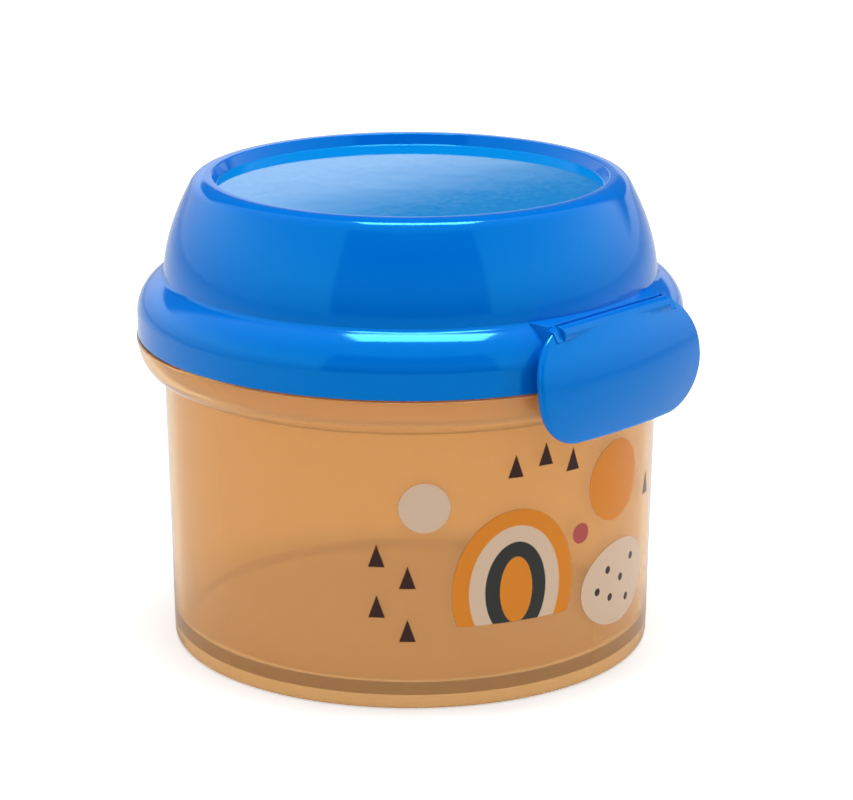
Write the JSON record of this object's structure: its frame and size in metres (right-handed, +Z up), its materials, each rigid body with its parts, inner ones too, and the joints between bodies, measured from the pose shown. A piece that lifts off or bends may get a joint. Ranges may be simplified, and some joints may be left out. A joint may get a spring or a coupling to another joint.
{
  "type": "toddler snack container",
  "caption": "Round translucent snack cup with a domed flip lid on a back hinge, a seal ring inside and a curved snap clip at the front.",
  "frame": {"origin": "centre of the foot, on the surface that the container stands on", "axes": "+Z up through the cup and lid; the clip and the label face -Y; the lid's hinge is at +Y; +X is to the right, seen from the clip side"},
  "size_m": [0.102, 0.1068, 0.0883],
  "materials": {
    "cup_plastic": "translucent orange polypropylene, smooth gloss outside",
    "label_film": "clear film printed with a plain pattern",
    "lid_plastic": "opaque blue polypropylene, high gloss",
    "seal_silicone": "soft translucent white silicone, satin",
    "clip_plastic": "opaque blue polypropylene, high gloss"
  },
  "bodies": {
    "cup": {"cup": "cup_plastic", "front_label": "label_film"},
    "lid": {"lid": "lid_plastic", "seal_ring": "seal_silicone"},
    "clip": {"clip": "clip_plastic"}
  },
  "joints": [
    {"name": "lid_hinge", "type": "hinge", "parent": "cup", "child": "lid", "pos_m": [0, 0.0512, 0.0625], "axis": [-1, 0, 0], "range_deg": [0, 120]},
    {"name": "clip_hinge", "type": "hinge", "parent": "lid", "child": "clip", "pos_m": [0, -0.04814, 0.0687], "axis": [-1, 0, 0], "range_deg": [0, 105]}
  ]
}
